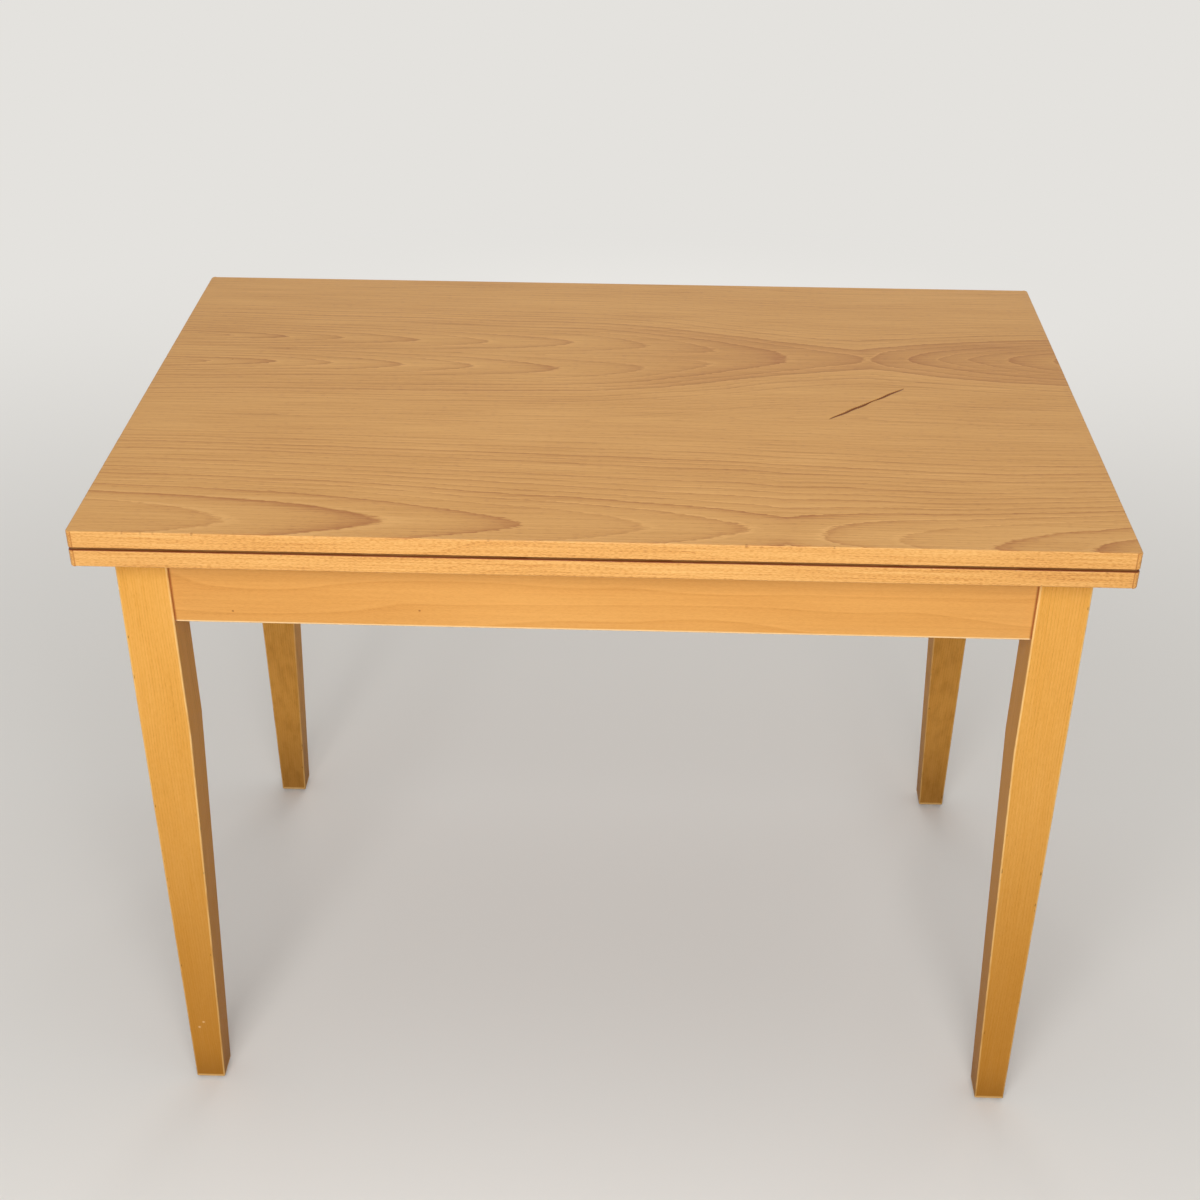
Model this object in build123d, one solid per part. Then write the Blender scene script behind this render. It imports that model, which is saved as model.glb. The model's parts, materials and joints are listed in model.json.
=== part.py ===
from build123d import *
import math
import os

# A fold-over table in beech. Two equal leaves lie on each other on a frame with four tapered legs.
# The pair turns a quarter turn on an off-centre pivot, and the upper leaf then folds over on butt
# hinges at the back edge, which doubles the top. X is the length, Y points to the back, Z is up,
# and the origin is on the floor under the middle of the top. All sizes are in millimetres.

# Driving dimensions: the leaves
table_height = 760.0
leaf_length = 1010.0
leaf_depth = 640.0
leaf_thickness = 18.0
leaf_gap = 2.5
lipping_thickness = 5.0
leaf_corner_radius = 4.0
leaf_arris = 1.2

# Driving dimensions: the frame
frame_gap = 1.5
end_overhang = 32.0
side_overhang = 30.0
leg_width = 51.0
foot_width = 33.0
leg_straight = 220.0
leg_arris = 1.8
foot_bevel = 1.2
leg_chamfer = 10.0
apron_height = 80.0
apron_thickness = 20.0
apron_setback = 3.0
apron_arris = 1.5
glide_thickness = 4.0
glide_bevel = 1.0
glide_radius = 13.0
glide_stem_radius = 3.0
glide_stem_length = 14.0
felt_width = 6.0
felt_inset = 1.0

# Driving dimensions: the frame's joints and fasteners
dowel_radius = 5.0
dowel_length = 40.0
dowel_spacing = 40.0
dowel_bevel = 1.0
screw_point = 4.0
block_thickness = 25.0
block_height = 56.0
block_leg_gap = 3.0
block_screw_radius = 2.0
block_screw_head = 4.0
block_screw_head_height = 2.8
block_screw_head_round = 2.0
block_screw_seat = 9.0
block_screw_bite = 12.0
block_screw_spacing = 32.0
hanger_radius = 4.0
hanger_bite = 28.0
hanger_end = 4.0
hanger_lead = 2.5
bolt_end_bevel = 0.8
hanger_washer_radius = 9.0
hanger_washer_thickness = 1.6
hanger_nut_across = 13.0
hanger_nut_height = 6.5
nut_bevel_angle = 30.0

# Driving dimensions: the pivot
bearer_width = 100.0
bearer_thickness = 22.0
bearer_housing = 12.0
bearer_screw_radius = 2.0
bearer_screw_head = 4.0
bearer_screw_length = 40.0
bearer_screw_spacing = 60.0
pivot_radius = 5.0
pivot_head_radius = 9.0
pivot_head_height = 4.0
pivot_plate_size = 70.0
pivot_plate_thickness = 3.0
pivot_plate_corner = 6.0
pivot_screw_radius = 2.0
pivot_screw_head = 3.6
pivot_screw_length = 13.0
pivot_screw_spacing = 50.0
bush_wall = 3.0
bush_flange_radius = 12.0
bush_flange_thickness = 2.0
glide_washer_radius = 30.0
clamp_washer_radius = 14.0
clamp_washer_thickness = 2.5
lock_nut_across = 17.0
lock_nut_height = 10.0
pivot_end = 3.0
stop_peg_radius = 10.0
stop_peg_drop = 25.0
stop_peg_spigot_radius = 7.0
stop_peg_spigot_length = 10.0
stop_peg_bevel = 1.5

# Driving dimensions: the fold hinges and the bumpers
hinge_length = 60.0
hinge_inset = 130.0
hinge_offset = 0.4
hinge_plate_height = 14.0
hinge_plate_thickness = 1.6
hinge_plate_corner = 2.5
hinge_barrel_radius = 3.0
hinge_pin_radius = 1.5
hinge_screw_radius = 1.5
hinge_screw_head = 2.7
hinge_screw_length = 16.0
hinge_screw_spacing = 21.0
hinge_screw_drop = 8.0
bumper_radius = 6.0
bumper_inset = 70.0
bumper_arris = 0.8

# Clearances
fixed_fit = 0.02
running_fit = 0.05
hole_fit = 0.05
slip = 0.1
felt_slip = 0.2
stop_clearance = 0.3
knuckle_clearance = 0.3
hole_depth_spare = 1.0
driver_clearance = 0.4

# Levels, from the top down
upper_bottom = table_height - leaf_thickness
lower_top = upper_bottom - leaf_gap
lower_bottom = lower_top - leaf_thickness
frame_top = lower_bottom - frame_gap
apron_bottom = frame_top - apron_height
apron_middle = frame_top - apron_height / 2
bearer_bottom = frame_top - bearer_thickness
fold_z = lower_top + leaf_gap / 2

# Plan places
frame_half_x = leaf_length / 2 - end_overhang
frame_half_y = leaf_depth / 2 - side_overhang
apron_face_x = frame_half_x - apron_setback
apron_face_y = frame_half_y - apron_setback
inner_half_x = apron_face_x - apron_thickness
inner_half_y = apron_face_y - apron_thickness
apron_end_x = frame_half_x - leg_width
apron_end_y = frame_half_y - leg_width
fold_y = leaf_depth / 2 + hinge_offset
pivot_x = leaf_depth / 4
pivot_y = leaf_depth / 4
stop_peg_y = inner_half_y - stop_peg_radius - stop_clearance
stop_peg_x = pivot_x + pivot_y - leaf_depth / 2 - stop_peg_y

# The corner block lies across the frame's inner corner, at 45 degrees. Its two long faces are lines on
# which the distances from the two aprons add up to a constant.
leg_intrusion = leg_width - apron_setback - apron_thickness
leg_flat_sum = 2 * leg_intrusion - leg_chamfer
block_near_sum = 2 * leg_intrusion + block_leg_gap
block_far_sum = block_near_sum + block_thickness * math.sqrt(2)
block_screw_place = (block_near_sum + block_far_sum) / 2

INWARD = Vector(-1, -1, 0).normalized()
UP = Vector(0, 0, 1)
DOWN = Vector(0, 0, -1)
BACK = Vector(0, 1, 0)
FRONT = Vector(0, -1, 0)
RIGHT = Vector(1, 0, 0)
FROM_BASE = (Align.CENTER, Align.CENTER, Align.MIN)


def block_between(low, high):
    """A box from its lowest to its highest corner."""
    size = [b - a for a, b in zip(low, high)]
    middle = [(a + b) / 2 for a, b in zip(low, high)]
    return Pos(*middle) * Box(*size)


def rod(start, direction, radius, length, start_bevel=0.0, end_bevel=0.0):
    """A round bar from a point along a direction, with bevelled ends if they are asked for."""
    bar = Cylinder(radius, length, align=FROM_BASE)
    if start_bevel > 0.0:
        bar = chamfer(bar.edges().group_by(Axis.Z)[0], start_bevel)
    if end_bevel > 0.0:
        bar = chamfer(bar.edges().group_by(Axis.Z)[-1], end_bevel)
    return Plane(origin=start, z_dir=direction) * bar


def ring(start, direction, radius, bore, length):
    """A washer or bush: a round bar with a bore right through it."""
    return rod(start, direction, radius, length) - rod(start, direction, bore, length)


def hexagon_nut(start, direction, across, bore, height):
    """A nut of a given size across its flats, with its corners turned off at both ends."""
    corner = across / math.sqrt(3)
    rise = (corner - across / 2) * math.tan(math.radians(nut_bevel_angle))
    profile = Polygon(
        (0, 0),
        (across / 2, 0),
        (corner, rise),
        (corner, height - rise),
        (across / 2, height),
        (0, height),
        align=None,
    )
    turned = revolve(Plane.XZ * profile, axis=Axis.Z)
    body = turned & extrude(RegularPolygon(corner, 6), amount=height)
    return Plane(origin=start, z_dir=direction) * body - rod(start, direction, bore, height)


def pointed_shank(radius, length):
    """A wood screw's shank, whose point is the end of its length."""
    stem = Cylinder(radius, length - screw_point, align=FROM_BASE)
    point = Cone(radius, 0, screw_point, align=FROM_BASE)
    return stem + Pos(0, 0, length - screw_point) * point


def countersunk_screw(seat, direction, head, shank, length, fit=0.0):
    """A screw with a cone head flush with its seat. With a fit it is the hole for that screw."""
    cone_height = head - shank
    stem_length = length - cone_height
    cone = Cone(head + fit, shank + fit, cone_height, align=FROM_BASE)
    if fit == 0.0:
        stem = pointed_shank(shank, stem_length)
    else:
        stem = Cylinder(shank + fit, stem_length + fit, align=FROM_BASE)
    return Plane(origin=seat, z_dir=direction) * (cone + Pos(0, 0, cone_height) * stem)


def round_head_screw(seat, direction, head, head_height, shank, length):
    """A screw whose rounded head stands on its seat."""
    cap = Cylinder(head, head_height, align=FROM_BASE)
    cap = fillet(cap.edges().group_by(Axis.Z)[0], block_screw_head_round)
    cap = Pos(0, 0, -head_height) * cap
    return Plane(origin=seat, z_dir=direction) * (cap + pointed_shank(shank, length))


def group(shapes):
    """Separate solids kept together as one node."""
    return Compound([solid for shape in shapes for solid in shape.solids()])


def in_corner(shape, side_x, side_y):
    """A shape made for the back right corner, mirrored to another corner."""
    if side_x < 0:
        shape = mirror(shape, about=Plane.YZ)
    if side_y < 0:
        shape = mirror(shape, about=Plane.XZ)
    return shape


CORNERS = {
    "front_left": (-1, -1),
    "front_right": (1, -1),
    "back_left": (-1, 1),
    "back_right": (1, 1),
}


def in_every_corner(shapes):
    return [in_corner(shape, *sides) for sides in CORNERS.values() for shape in shapes]


# Fasteners of the frame. Each function gives the pieces, or with a fit the holes they need.

def corner_dowels(fit=0.0, spare=0.0):
    """The dowels that join the back and right aprons to the back right leg."""
    length = dowel_length + 2 * spare
    half = length / 2
    bevel = dowel_bevel if fit == 0.0 else 0.0
    middle_x = apron_face_x - apron_thickness / 2
    middle_y = apron_face_y - apron_thickness / 2
    pieces = []
    for level in (-dowel_spacing / 2, dowel_spacing / 2):
        z = apron_middle + level
        ends = (((apron_end_x - half, middle_y, z), RIGHT), ((middle_x, apron_end_y - half, z), BACK))
        for end, direction in ends:
            pieces.append(rod(end, direction, dowel_radius + fit, length, bevel, bevel))
    return pieces


def corner_block_screws(fit=0.0, spare=0.0):
    """Round-head screws through the corner block into the back and right aprons."""
    length = block_screw_seat + block_screw_bite + spare
    pieces = []
    for level in (-block_screw_spacing / 2, block_screw_spacing / 2):
        z = apron_middle + level
        seats = (
            ((inner_half_x - block_screw_place, inner_half_y - block_screw_seat, z), BACK),
            ((inner_half_x - block_screw_seat, inner_half_y - block_screw_place, z), RIGHT),
        )
        for seat, direction in seats:
            if fit == 0.0:
                pieces.append(round_head_screw(
                    seat, direction, block_screw_head, block_screw_head_height, block_screw_radius, length))
                continue
            shank_hole = rod(seat, direction, block_screw_radius + fit, length)
            head_hole = rod(seat, -direction, block_screw_head + driver_clearance, block_far_sum)
            pieces.append(shank_hole + head_hole)
    return pieces


def on_diagonal(distance_sum):
    """The point on the corner's diagonal where the distances from both aprons add up to a sum."""
    return Vector(inner_half_x - distance_sum / 2, inner_half_y - distance_sum / 2, apron_middle)


block_far_point = on_diagonal(block_far_sum)
hanger_start = on_diagonal(leg_flat_sum) - INWARD * hanger_bite
hanger_length = (
    (block_far_point - hanger_start).length + hanger_washer_thickness + hanger_nut_height + hanger_end
)


def hanger_hole():
    start = hanger_start - INWARD * hole_depth_spare
    return rod(start, INWARD, hanger_radius + hole_fit, hanger_length + hole_depth_spare)


def bearer_screws(fit=0.0):
    """Screws down through the bearer's ends into the front and back aprons."""
    place_y = inner_half_y + bearer_housing / 2
    return [
        countersunk_screw((pivot_x + x, side * place_y, frame_top), DOWN, bearer_screw_head,
                          bearer_screw_radius, bearer_screw_length, fit)
        for side in (-1, 1)
        for x in (-bearer_screw_spacing / 2, bearer_screw_spacing / 2)
    ]


# The frame

def leg():
    """The back right leg: square and straight at the top, with its two inner faces tapered below."""
    bend = frame_top - leg_straight
    corner = Vector(frame_half_x, frame_half_y, 0)

    def section(width, z):
        middle = corner - Vector(width / 2, width / 2, -z)
        return Pos(*middle) * RectangleRounded(width, width, leg_arris)

    straight = extrude(section(leg_width, bend), amount=leg_straight)
    taper = loft([section(foot_width, glide_thickness), section(leg_width, bend)], ruled=True)
    taper = chamfer(taper.edges().group_by(Axis.Z)[0], foot_bevel)
    flat = on_diagonal(leg_flat_sum)
    flat_plane = Plane(origin=flat, x_dir=UP, z_dir=INWARD)
    flat_cutter = flat_plane * Box(apron_height, 2 * leg_width, leg_width, align=FROM_BASE)
    stem = rod(glide_stem_base(), UP, glide_stem_radius + hole_fit, glide_stem_length + hole_depth_spare)
    holes = corner_dowels(hole_fit, hole_depth_spare)
    return straight + taper - [flat_cutter, hanger_hole(), stem, *holes]


def glide_stem_base():
    return Vector(frame_half_x - foot_width / 2, frame_half_y - foot_width / 2, glide_thickness)


def foot_glide():
    """A nylon glide with a stem that is pushed into the foot."""
    base = glide_stem_base()
    disc = rod(base, DOWN, glide_radius, glide_thickness, end_bevel=glide_bevel)
    return disc + rod(base, UP, glide_stem_radius, glide_stem_length)


def corner_block():
    """A block across the inner corner, which the hanger bolt pulls towards the leg."""
    outline = Polygon(
        (inner_half_x - block_near_sum, inner_half_y),
        (inner_half_x - block_far_sum, inner_half_y),
        (inner_half_x, inner_half_y - block_far_sum),
        (inner_half_x, inner_half_y - block_near_sum),
        align=None,
    )
    body = extrude(Pos(0, 0, apron_middle - block_height / 2) * outline, amount=block_height)
    return body - [hanger_hole(), *corner_block_screws(hole_fit)]


def bearer_blank():
    half = inner_half_y + bearer_housing
    return block_between(
        (pivot_x - bearer_width / 2, -half, bearer_bottom),
        (pivot_x + bearer_width / 2, half, frame_top),
    )


def apron(low, high, along):
    """A rail with its bottom arrises rounded, drilled for its dowels and screws."""
    rail = block_between(low, high)
    bottom = rail.edges().filter_by(along).group_by(Axis.Z)[0]
    rail = fillet(bottom, apron_arris)
    dowel_holes = in_every_corner(corner_dowels(hole_fit, hole_depth_spare))
    screw_holes = in_every_corner(corner_block_screws(hole_fit, hole_depth_spare))
    return rail - [bearer_blank(), *dowel_holes, *screw_holes, *bearer_screws(hole_fit)]


def felt_strips():
    """Thin strips along the tops of the aprons, on which the turning top slides."""
    top = frame_top + frame_gap - felt_slip
    outer_x = apron_face_x - felt_inset
    outer_y = apron_face_y - felt_inset
    strips = []
    for side in (-1, 1):
        ys = sorted((side * outer_y, side * (outer_y - felt_width)))
        strips.append(block_between((-apron_end_x, ys[0], frame_top), (apron_end_x, ys[1], top)))
        xs = sorted((side * outer_x, side * (outer_x - felt_width)))
        strips.append(block_between((xs[0], -apron_end_y, frame_top), (xs[1], apron_end_y, top)))
    return strips


# The pivot, on a line through the bearer and the lower leaf

def on_pivot(z):
    return Vector(pivot_x, pivot_y, z)


def pivot_bush(fit=0.0):
    """A flanged bush let into the bearer. With a fit it is the hole that holds it."""
    sleeve = rod(on_pivot(bearer_bottom), UP, pivot_radius + running_fit + bush_wall + fit, bearer_thickness)
    flange = rod(on_pivot(frame_top), DOWN, bush_flange_radius + fit, bush_flange_thickness)
    return sleeve + flange


def pivot_screws(fit=0.0):
    half = pivot_screw_spacing / 2
    return [
        countersunk_screw((pivot_x + x, pivot_y + y, lower_bottom), UP, pivot_screw_head,
                          pivot_screw_radius, pivot_screw_length, fit)
        for x in (-half, half)
        for y in (-half, half)
    ]


plate_top = lower_bottom + pivot_plate_thickness
clamp_washer_top = bearer_bottom - slip
lock_nut_top = clamp_washer_top - clamp_washer_thickness
pivot_bottom = lock_nut_top - lock_nut_height - pivot_end


def pivot_plate_blank():
    half = pivot_plate_size / 2
    plate = block_between(
        (pivot_x - half, pivot_y - half, lower_bottom),
        (pivot_x + half, pivot_y + half, plate_top),
    )
    return fillet(plate.edges().filter_by(Axis.Z), pivot_plate_corner)


def pivot_head():
    return rod(on_pivot(plate_top), UP, pivot_head_radius, pivot_head_height)


def stop_peg(fit=0.0):
    """A peg under the lower leaf: it meets the back apron when closed, the front one when turned."""
    base = Vector(stop_peg_x, stop_peg_y, lower_bottom)
    drop = rod(base, DOWN, stop_peg_radius, stop_peg_drop, end_bevel=stop_peg_bevel)
    spigot = rod(base, UP, stop_peg_spigot_radius + fit, stop_peg_spigot_length)
    return drop + spigot


# The fold hinges

HINGES = {
    "left": hinge_inset - leaf_length / 2,
    "centre": 0.0,
    "right": leaf_length / 2 - hinge_inset,
}
knuckle_length = hinge_length / 3


def barrel(place, radius, low, high):
    """A stretch of the barrel of the hinge at a place, between two distances along it."""
    return rod((place + low, fold_y, fold_z), RIGHT, radius, high - low)


def knuckles(place, radius, inner, clearance=0.0):
    """The middle knuckle, which is the upper plate's, or the two outer ones, the lower plate's."""
    half = hinge_length / 2
    middle = knuckle_length / 2
    if inner:
        return [barrel(place, radius, -middle - clearance, middle + clearance)]
    return [
        barrel(place, radius, -half - clearance, -middle + clearance),
        barrel(place, radius, middle - clearance, half + clearance),
    ]


def plate_blank(place, upper):
    """The flat of a hinge plate, let into the back edge of its leaf, from the fold line outwards."""
    far = upper_bottom + hinge_plate_height if upper else lower_top - hinge_plate_height
    levels = sorted((far, fold_z))
    back = leaf_depth / 2
    plate = block_between(
        (place - hinge_length / 2, back - hinge_plate_thickness, levels[0]),
        (place + hinge_length / 2, back, levels[1]),
    )
    outer = plate.edges().filter_by(Axis.Y).group_by(Axis.Z)[-1 if upper else 0]
    return fillet(outer, hinge_plate_corner)


def hinge_screws(place, upper, fit=0.0):
    z = upper_bottom + hinge_screw_drop if upper else lower_top - hinge_screw_drop
    return [
        countersunk_screw((place + x, leaf_depth / 2, z), FRONT, hinge_screw_head,
                          hinge_screw_radius, hinge_screw_length, fit)
        for x in (-hinge_screw_spacing, 0.0, hinge_screw_spacing)
    ]


def hinge_plate(place, upper):
    """A butt hinge's plate with its knuckles, cut back around the other plate's knuckles."""
    bore = hinge_pin_radius + (running_fit if upper else fixed_fit)
    clear_radius = hinge_barrel_radius + knuckle_clearance
    others = knuckles(place, clear_radius, not upper, knuckle_clearance / 2)
    plate = plate_blank(place, upper) - others
    for knuckle in knuckles(place, hinge_barrel_radius, upper, -knuckle_clearance / 2):
        plate = plate + knuckle
    pin_hole = barrel(place, bore, -hinge_length, hinge_length)
    return plate - [pin_hole, *hinge_screws(place, upper, fixed_fit)]


def hinge_pin(place):
    return barrel(place, hinge_pin_radius, -hinge_length / 2, hinge_length / 2)


def hinge_room(upper):
    """What the hinges need cut from a leaf: the plate's seat, the room for the barrel, the screw holes."""
    cuts = []
    half = hinge_length / 2 + knuckle_clearance
    for place in HINGES.values():
        cuts.append(plate_blank(place, upper))
        cuts.append(barrel(place, hinge_barrel_radius + knuckle_clearance, -half, half))
        cuts.extend(hinge_screws(place, upper, fixed_fit))
    return cuts


# The leaves

def leaf(bottom, cuts):
    """A veneered panel and its four lippings. The end lippings run over the ends of the long ones."""
    blank = Pos(0, 0, bottom + leaf_thickness / 2) * Box(leaf_length, leaf_depth, leaf_thickness)
    blank = fillet(blank.edges().filter_by(Axis.Z), leaf_corner_radius)
    faces = blank.faces().filter_by(Axis.Z)
    blank = fillet(faces.edges(), leaf_arris)
    blank = blank - cuts
    x, y = leaf_length / 2, leaf_depth / 2
    inner_x = x - lipping_thickness
    inner_y = y - lipping_thickness
    top = bottom + leaf_thickness
    regions = {
        "leaf_panel": ((-inner_x, -inner_y), (inner_x, inner_y)),
        "lipping_front": ((-inner_x, -y), (inner_x, -inner_y)),
        "lipping_back": ((-inner_x, inner_y), (inner_x, y)),
        "lipping_left": ((-x, -y), (-inner_x, y)),
        "lipping_right": ((inner_x, -y), (x, y)),
    }
    return {
        name: blank & block_between((*low, bottom), (*high, top))
        for name, (low, high) in regions.items()
    }


def bumpers():
    """Clear buttons that keep the leaves apart."""
    x = leaf_length / 2 - bumper_inset
    y = leaf_depth / 2 - bumper_inset
    buttons = []
    for side_x, side_y in CORNERS.values():
        button = rod((side_x * x, side_y * y, lower_top), UP, bumper_radius, leaf_gap - slip)
        buttons.append(fillet(button.edges().group_by(Axis.Z)[-1], bumper_arris))
    return buttons


# All nodes

nodes = {}

for corner_name, sides in CORNERS.items():
    nodes[f"leg_{corner_name}"] = in_corner(leg(), *sides)
    nodes[f"corner_block_{corner_name}"] = in_corner(corner_block(), *sides)
    nodes[f"foot_glide_{corner_name}"] = in_corner(foot_glide(), *sides)

for name, side in {"front": -1, "back": 1}.items():
    ys = sorted((side * apron_face_y, side * inner_half_y))
    low = (-apron_end_x, ys[0], apron_bottom)
    nodes[f"apron_{name}"] = apron(low, (apron_end_x, ys[1], frame_top), Axis.X)

for name, side in {"left": -1, "right": 1}.items():
    xs = sorted((side * apron_face_x, side * inner_half_x))
    low = (xs[0], -apron_end_y, apron_bottom)
    nodes[f"apron_{name}"] = apron(low, (xs[1], apron_end_y, frame_top), Axis.Y)

nut_start = block_far_point + INWARD * hanger_washer_thickness
hanger_bore = hanger_radius + fixed_fit
nodes["apron_dowels"] = group(in_every_corner(corner_dowels()))
nodes["corner_block_screws"] = group(in_every_corner(corner_block_screws()))
nodes["hanger_bolts"] = group(in_every_corner(
    [rod(hanger_start, INWARD, hanger_radius, hanger_length, hanger_lead, bolt_end_bevel)]))
nodes["hanger_washers"] = group(in_every_corner(
    [ring(block_far_point, INWARD, hanger_washer_radius, hanger_bore, hanger_washer_thickness)]))
nodes["hanger_nuts"] = group(in_every_corner(
    [hexagon_nut(nut_start, INWARD, hanger_nut_across, hanger_bore, hanger_nut_height)]))
nodes["apron_felt"] = group(felt_strips())

pivot_bore = pivot_radius + fixed_fit
nodes["pivot_bearer"] = bearer_blank() - [pivot_bush(fixed_fit), *bearer_screws(fixed_fit)]
nodes["bearer_screws"] = group(bearer_screws())
nodes["pivot_bush"] = pivot_bush() - rod(
    on_pivot(bearer_bottom), UP, pivot_radius + running_fit, bearer_thickness)
nodes["pivot_plate"] = pivot_plate_blank() - [
    rod(on_pivot(lower_bottom), UP, pivot_bore, pivot_plate_thickness), *pivot_screws(fixed_fit)]
nodes["pivot_plate_screws"] = group(pivot_screws())
nodes["pivot_bolt"] = pivot_head() + rod(
    on_pivot(plate_top), DOWN, pivot_radius, plate_top - pivot_bottom, end_bevel=bolt_end_bevel)
nodes["pivot_glide_washer"] = ring(
    on_pivot(lower_bottom), DOWN, glide_washer_radius, pivot_bore, frame_gap - slip)
nodes["pivot_clamp_washer"] = ring(
    on_pivot(clamp_washer_top), DOWN, clamp_washer_radius, pivot_bore, clamp_washer_thickness)
nodes["pivot_lock_nut"] = hexagon_nut(
    on_pivot(lock_nut_top), DOWN, lock_nut_across, pivot_bore, lock_nut_height)
nodes["stop_peg"] = stop_peg()
nodes["leaf_bumpers"] = group(bumpers())

pivot_cuts = [pivot_plate_blank(), pivot_head(), stop_peg(fixed_fit), *pivot_screws(fixed_fit)]
for name, solid in leaf(lower_bottom, [*pivot_cuts, *hinge_room(upper=False)]).items():
    nodes[f"lower_{name}"] = solid
for name, solid in leaf(upper_bottom, hinge_room(upper=True)).items():
    nodes[f"upper_{name}"] = solid

for name, place in HINGES.items():
    nodes[f"hinge_lower_plate_{name}"] = hinge_plate(place, upper=False)
    nodes[f"hinge_upper_plate_{name}"] = hinge_plate(place, upper=True)
    nodes[f"hinge_pin_{name}"] = hinge_pin(place)
nodes["hinge_lower_screws"] = group(
    [screw for place in HINGES.values() for screw in hinge_screws(place, upper=False)])
nodes["hinge_upper_screws"] = group(
    [screw for place in HINGES.values() for screw in hinge_screws(place, upper=True)])

os.makedirs("parts", exist_ok=True)
for name, shape in nodes.items():
    export_step(shape, f"parts/{name}.step")
print(len(nodes), "nodes written")
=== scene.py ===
# %% [markdown]
# This lesson dresses a fold-over table in beech. Its solids come packed, in real size and place, and carry
# the joints. Here they get wood, lacquer, metal and wear, and a few pieces are made again where tools or
# years of use left more than a plain solid shows.

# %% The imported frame
import json
import math

import bmesh
import bpy
import numpy as np
from mathutils import Matrix, Vector


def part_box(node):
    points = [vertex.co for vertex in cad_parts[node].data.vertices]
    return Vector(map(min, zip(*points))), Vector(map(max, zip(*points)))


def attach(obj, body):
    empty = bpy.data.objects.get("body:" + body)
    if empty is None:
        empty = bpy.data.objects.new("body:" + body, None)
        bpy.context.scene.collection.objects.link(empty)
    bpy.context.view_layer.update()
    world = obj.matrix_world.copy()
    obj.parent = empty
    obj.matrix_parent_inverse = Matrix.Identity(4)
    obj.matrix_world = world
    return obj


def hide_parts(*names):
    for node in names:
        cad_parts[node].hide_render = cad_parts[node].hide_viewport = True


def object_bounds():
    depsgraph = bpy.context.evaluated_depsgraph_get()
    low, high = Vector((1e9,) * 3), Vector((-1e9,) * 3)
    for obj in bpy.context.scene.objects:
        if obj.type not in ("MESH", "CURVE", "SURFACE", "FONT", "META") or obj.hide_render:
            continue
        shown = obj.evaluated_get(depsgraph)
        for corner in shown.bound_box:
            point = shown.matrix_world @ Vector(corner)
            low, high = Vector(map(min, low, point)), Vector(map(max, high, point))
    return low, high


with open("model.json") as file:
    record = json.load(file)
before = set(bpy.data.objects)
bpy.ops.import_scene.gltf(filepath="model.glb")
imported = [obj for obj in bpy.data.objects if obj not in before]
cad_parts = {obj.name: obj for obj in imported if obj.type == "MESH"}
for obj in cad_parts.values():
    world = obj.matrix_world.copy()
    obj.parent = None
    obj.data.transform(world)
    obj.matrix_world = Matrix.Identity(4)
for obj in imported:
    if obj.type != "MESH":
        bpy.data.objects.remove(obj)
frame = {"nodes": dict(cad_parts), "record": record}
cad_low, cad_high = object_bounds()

nodes = frame["nodes"]
MM = 0.001
whole = tuple(round(high - low, 3) for low, high in zip(cad_low, cad_high))
print("loaded", len(nodes), "solids; the whole is", whole, "m")

# %% [markdown]
# Grain is drawn with arithmetic: where a ring passes, how far a fleck has faded, how worn an edge is. Wiring
# it by hand takes hundreds of links, so a class stands for one number in a shader, and its operators add the
# nodes. An expression then reads like its formula.

# %% Numbers in a shader


def operator(operation, swapped=False):
    """A method that puts a number, and any others, through a Math node."""
    def method(self, *others):
        values = (*others, self) if swapped else (self, *others)
        return self.wiring.node("Math", {"operation": operation}, values)
    return method


class Tone:
    """A number in a shader: an output socket whose operators add Math nodes."""

    __add__, __radd__ = operator("ADD"), operator("ADD", swapped=True)
    __sub__, __rsub__ = operator("SUBTRACT"), operator("SUBTRACT", swapped=True)
    __mul__, __rmul__ = operator("MULTIPLY"), operator("MULTIPLY", swapped=True)
    __truediv__, __pow__ = operator("DIVIDE"), operator("POWER")
    __abs__, root = operator("ABSOLUTE"), operator("SQRT")
    fraction, whole = operator("FRACT"), operator("FLOOR")
    most, smooth_least = operator("MAXIMUM"), operator("SMOOTH_MIN")

    def __init__(self, wiring, socket):
        self.wiring = wiring
        self.socket = socket

    def least(self, other, blend=0.0):
        """The smaller of two numbers, rounded off where they cross by a blend."""
        return self.smooth_least(other, blend)

    def step(self, low, high, start=0.0, end=1.0):
        """A soft step from a start to an end value as this number goes from low to high."""
        settings = {"interpolation_type": "SMOOTHSTEP"}
        return self.wiring.node("MapRange", settings, {0: self, 1: low, 2: high, 3: start, 4: end})

    def fade(self, low, high):
        """A soft step down, from 1 at low to 0 at high."""
        return self.step(low, high, 1.0, 0.0)


print("shader numbers can be added, multiplied and stepped")

# %% [markdown]
# One method makes every node, for the wood, the metal, the floor and the studio's light. It takes the kind of
# node, its settings and what goes into its sockets. Settings come first, since some change the sockets.

# %% Wiring nodes


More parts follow.
